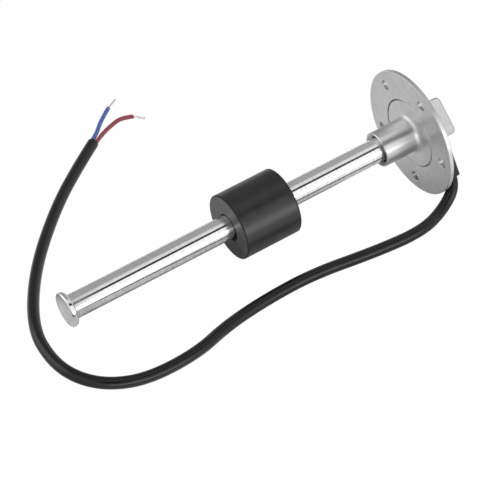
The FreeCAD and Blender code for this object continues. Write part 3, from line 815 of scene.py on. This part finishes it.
FERRITE = grained("ferrite", (0.07, 0.07, 0.075), (0.11, 0.11, 0.115), roughness=0.55, patch=0.8 * MM)
BOARD = grained("board", (0.03, 0.16, 0.07), (0.04, 0.20, 0.09), roughness=0.35, patch=1.2 * MM)
REED_GLASS = grained("reed_glass", (0.70, 0.82, 0.76), (0.78, 0.88, 0.82), roughness=0.06, patch=3 * MM,
                     **{"Transmission Weight": 0.85})
CHIP = grained("chip_body", (0.04, 0.04, 0.045), (0.07, 0.07, 0.075), roughness=0.45, patch=0.5 * MM)
POTTING = grained("potting", (0.025, 0.025, 0.028), (0.04, 0.04, 0.042), roughness=0.25, patch=3 * MM)


def dress(piece, body, node, material):
    """Gives a piece its material and body, and hides the CAD node that it stands for."""
    piece.data.materials.append(material)
    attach(piece, body)
    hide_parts(node)


def make_tube():
    """Straight round tube with its wall, from the cap to the head."""
    low, high = CAP_THICK - SENSOR_LENGTH, SEAT_DEPTH + TUBE_STUB
    inner = TUBE_RADIUS - TUBE_WALL
    profile = rounded([
        (low, TUBE_RADIUS, FINE_EDGE),
        (high, TUBE_RADIUS, FINE_EDGE),
        (high, inner, 0),
        (low, inner, 0),
    ])
    tube = turned("tube", profile, FLANGE_MIDDLE, columns=160)
    dress(tube, "sensor", "sensor_tube", TUBE)


def make_collar():
    """Round plate with a filleted boss, whose mouth slopes in to the seal's place round the tube."""
    bore = TUBE_RADIUS + FIT
    mouth_foot = MOUTH_SLOPE - BOSS_LENGTH
    floor = mouth_foot + SEAL_RECESS + SEAL_HEIGHT
    profile = rounded([
        (SEAT_DEPTH, bore, 0),
        (SEAT_DEPTH, PLATE_RADIUS, 0),
        (SEAM_EDGE, PLATE_RADIUS, 0),
        (0, PLATE_RADIUS - SEAM_EDGE, FINE_EDGE),
        (0, BOSS_RADIUS, BOSS_ROOT),
        (-BOSS_LENGTH, BOSS_RADIUS, BOSS_EDGE),
        (-BOSS_LENGTH, MOUTH_RADIUS + MOUTH_SLOPE, MOUTH_EDGE),
        (mouth_foot, MOUTH_RADIUS, 0),
        (floor, MOUTH_RADIUS, 0),
        (floor, bore, 0),
    ], steps=10)
    collar = turned("collar", profile, FLANGE_MIDDLE, columns=192)
    dress(collar, "sensor", "tube_collar", COLLAR)


def make_seal():
    """Ring with a shallow groove round its open end."""
    inside, outside = TUBE_RADIUS + FIT, MOUTH_RADIUS - FIT
    foot = MOUTH_SLOPE + SEAL_RECESS - BOSS_LENGTH
    top = foot + SEAL_HEIGHT - FIT
    profile = rounded([
        (top, inside, 0),
        (top, outside, 0),
        (foot, outside, SEAL_EDGE),
        (foot + SEAL_GROOVE, (inside + outside) / 2, SEAL_EDGE),
        (foot, inside, SEAL_EDGE),
    ], margin=0.03 * MM)
    seal = turned("seal", profile, FLANGE_MIDDLE)
    dress(seal, "sensor", "collar_seal", SEAL)


def make_cap():
    """Flat disc with a broken front edge and a rounded back edge, on a plug that goes into the tube."""
    face, back = -SENSOR_LENGTH, CAP_THICK - SENSOR_LENGTH
    plug = TUBE_RADIUS - TUBE_WALL - FIT
    top = back + PLUG_LENGTH
    profile = rounded([
        (face, 0, 0),
        (face, CAP_RADIUS - CAP_FACE, CAP_EDGE),
        (face + CAP_FACE, CAP_RADIUS, CAP_EDGE),
        (back, CAP_RADIUS, CAP_BACK),
        (back, plug, 0),
        (top, plug, 0),
        (top, 0, 0),
    ], closed=False, steps=10)
    cap = turned("cap", profile, FLANGE_MIDDLE, columns=160, closed=False)
    dress(cap, "sensor", "end_cap", CAP)


def make_float():
    """Round float with a loose bore, and a groove in the bore for the magnet."""
    half = FLOAT_LENGTH / 2
    groove = GROOVE_HEIGHT / 2
    profile = rounded([
        (-half, FLOAT_BORE, BORE_EDGE),
        (-half, FLOAT_RADIUS, FLOAT_EDGE),
        (half, FLOAT_RADIUS, FLOAT_EDGE),
        (half, FLOAT_BORE, BORE_EDGE),
        (groove, FLOAT_BORE, 0),
        (groove, GROOVE_RADIUS, 0),
        (-groove, GROOVE_RADIUS, 0),
        (-groove, FLOAT_BORE, 0),
    ])
    piece = turned("float", profile, FLOAT_MIDDLE, columns=192)
    dress(piece, "float", "float_body", FOAM)


def make_boot():
    """Strain relief: a straight run, then a taper to the cable, with a neck through the head's wall and a lip
    behind it."""
    inner_wall, outer_wall = HEAD_HALF - HEAD_WALL, HEAD_HALF
    lip = inner_wall - LIP_THICK
    tip = HEAD_HALF + BOOT_LENGTH
    jacket_end = tip - JACKET_DEPTH
    jacket = JACKET_RADIUS + FIT
    profile = rounded([
        (lip, LEAD_BORE, 0),
        (jacket_end, LEAD_BORE, 0),
        (jacket_end, jacket, 0),
        (tip, jacket, FINE_EDGE),
        (tip, BOOT_TIP_RADIUS, BOOT_EDGE),
        (outer_wall + BOOT_STRAIGHT, BOOT_RADIUS, BOOT_WAIST),
        (outer_wall, BOOT_RADIUS, BOOT_FOOT_EDGE),
        (outer_wall, BOOT_NECK, 0),
        (inner_wall, BOOT_NECK, 0),
        (inner_wall, BOOT_LIP, 0),
        (lip, BOOT_LIP, 0),
    ])
    side = np.cross(ALONG, CABLE_OUT)
    boot = turned("boot", profile, BOOT_FOOT, axis=CABLE_OUT, side=side, lift=ALONG, columns=96)
    dress(boot, "sensor", "cable_boot", BOOT)


def make_cable():
    """Cable from inside the boot, down its bend and along the floor to its cut end, with its two cores."""
    tip = BOOT_FOOT + CABLE_OUT * (HEAD_HALF + BOOT_LENGTH)
    first, bend = tip - CABLE_OUT * JACKET_DEPTH, tip + CABLE_OUT * CABLE_LEAD
    route = [first, bend] + [np.array([x, y, JACKET_LIE]) for x, y in CABLE_ROUTE]
    path = spline_points(np.array(route), CORD_STEPS)
    cable = rod("cable", path, JACKET_RADIUS, [(0, 0), (0, JACKET_RADIUS)], JACKET_CUT, columns=40)
    dress(cable, "sensor", "cable_jacket", JACKET)
    end = route[-1]
    ahead = unit(route[-1] - route[-2])
    side = np.cross(UP, ahead) * CORE_HALF_PITCH
    make_core("blue", BLUE, end - ahead * CORE_SETBACK + side, BLUE_ROUTE, BLUE_STRANDS, lean=0.0)
    make_core("red", RED, end - ahead * CORE_SETBACK - side, RED_ROUTE, RED_STRANDS, lean=RED_SLANT)


def make_core(colour, material, start, spots, strand_spots, lean):
    """One core from inside the cut jacket to its bared, twisted strands."""
    def lifted(points):
        """Points at a core's height over the floor, plus their own lift."""
        return [np.array([x, y, CORE_LIE + lift]) for x, y, lift in points]

    path = spline_points(np.array([start] + lifted(spots)), CORD_STEPS)
    flat = [(0, 0), (0, CORE_RADIUS)]
    core = rod(f"{colour}_core", path, CORE_RADIUS, flat, CORE_CUT, columns=24, lean=lean)
    dress(core, "sensor", f"{colour}_wire", material)
    strand_path = spline_points(np.array(lifted(strand_spots)), STRAND_STEPS)
    strands = strand_bundle(f"{colour}_bare_strands", strand_path)
    dress(strands, "sensor", f"{colour}_strands", TINNED)


make_tube()
make_collar()
make_seal()
make_cap()
make_float()
make_boot()
make_cable()
# CAD nodes that keep their shape and get a better material
CARRIED_OVER = {
    "flange_head": BLASTED,
    "float_magnet": FERRITE,
    "circuit_strip": BOARD,
    "reed_switches": REED_GLASS,
    "reed_leads": TINNED,
    "strip_resistors": CHIP,
    "blue_lead": BLUE,
    "red_lead": RED,
    "head_resin": POTTING,
}
for node, material in CARRIED_OVER.items():
    NODES[node].data.materials.clear()
    NODES[node].data.materials.append(material)


def make_floor():
    """Plain white floor: a matt surface that keeps the shadow, mostly white to the camera and partly to
    metal, and darker close under the tube with a painted shadow."""
    low, high = -FLOOR_HALF, FLOOR_HALF
    mesh = bpy.data.meshes.new("floor")
    mesh.from_pydata([(low, low, 0), (high, low, 0), (high, high, 0), (low, high, 0)], [], [(0, 1, 2, 3)])
    floor = bpy.data.objects.new("floor", mesh)
    bpy.context.scene.collection.objects.link(floor)
    grey = (FLOOR_GREY, FLOOR_GREY, FLOOR_GREY)
    material, tree, shader = start_finish("floor", grey, 0, 0.9, **{"Specular IOR Level": 0.0})
    spot = put(tree, "SeparateXYZ", {"Vector": put(tree, "TexCoord", {}).outputs["Object"]}).outputs
    band = step_of(tree, spot["Y"], -FLOOR_REACH, FLOOR_REACH)
    past_cap = step_of(tree, spot["X"], *PAST_CAP)
    before_flange = step_of(tree, spot["X"], *BEFORE_FLANGE)
    # Painted shadow on the floor close under the tube
    painted_shadow = product(tree, ramp_of(tree, band, UNDER_TUBE_SHADOW), past_cap, before_flange)
    shade(tree, shader, step_of(tree, painted_shadow, 0.0, 1.0, FLOOR_GREY, UNDER_SHADOW_GREY))
    lit = product(tree, ramp_of(tree, band, OPEN_FLOOR), math_of(tree, "SUBTRACT", 1.0, painted_shadow))
    rays = put(tree, "LightPath", {}).outputs
    seen = product(tree, rays["Is Camera Ray"], FLOOR_WHITE)
    mirrored = math_of(tree, "ADD", rays["Is Glossy Ray"], rays["Is Transmission Ray"])
    share = math_of(tree, "ADD", seen, product(tree, mirrored, lit))
    white = put(tree, "Emission", {"Color": (1, 1, 1, 1), "Strength": 1.0}).outputs[0]
    mixed = put(tree, "MixShader", {0: share, 1: shader.outputs[0], 2: white}).outputs[0]
    tree.links.new(mixed, tree.nodes["Material Output"].inputs["Surface"])
    floor.data.materials.append(material)


def make_studio():
    """Soft studio all round: white to the camera; otherwise a white front, a narrow gap over it, a light
    ceiling and a greyer back, by the angle over the front horizon. A low strip light stands in front, the
    left side is white and the right grey, a soft light hangs on the left, behind, and the camera's own place
    is dark."""
    world = bpy.data.worlds.new("studio")
    bpy.context.scene.world = world
    world.use_nodes = True
    tree = world.node_tree
    towards = put(tree, "TexCoord", {}).outputs["Generated"]
    direction = put(tree, "SeparateXYZ", {"Vector": towards}).outputs
    angle = math_of(tree, "ARCTAN2", direction["Z"], product(tree, direction["Y"], -1.0))
    share = math_of(tree, "DIVIDE", angle, math.pi)
    arch = product(tree, ramp_of(tree, share, STUDIO_ARCH), FRONT_LEVEL)
    in_front = step_of(tree, math_of(tree, "ABSOLUTE", direction["X"]), *STRIP_ENDS)
    strip = product(tree, ramp_of(tree, share, STRIP_ARCH), in_front, STRIP_LEVEL)
    level = math_of(tree, "ADD", arch, strip)
    level = blend_of(tree, step_of(tree, direction["X"], *RIGHT_WALL), level, RIGHT_LEVEL)
    level = blend_of(tree, step_of(tree, direction["X"], *LEFT_WALL), level, LEFT_LEVEL)
    camera_place = step_of(tree, dot_of(tree, towards, CAMERA_SIDE), *CAMERA_SPOT)
    level = blend_of(tree, camera_place, level, CAMERA_LEVEL)
    left_back = step_of(tree, dot_of(tree, towards, LEFT_BACK), *LEFT_BACK_SPOT)
    level = blend_of(tree, left_back, level, LEFT_BACK_LEVEL)
    seen = put(tree, "LightPath", {}).outputs["Is Camera Ray"]
    tree.links.new(blend_of(tree, seen, level, 1.0), tree.nodes["Background"].inputs["Color"])


make_floor()
make_studio()

lens = bpy.data.cameras.new("camera")
lens.lens = CAMERA_LENS
lens.sensor_width = CAMERA_SENSOR
lens.clip_start = 0.01
camera = bpy.data.objects.new("camera", lens)
bpy.context.scene.collection.objects.link(camera)
camera.location = CAMERA_PLACE
camera.rotation_euler = (math.radians(90 - CAMERA_ELEVATION), 0, math.radians(CAMERA_AZIMUTH))
bpy.context.scene.camera = camera
bpy.context.scene.view_settings.view_transform = "Standard"
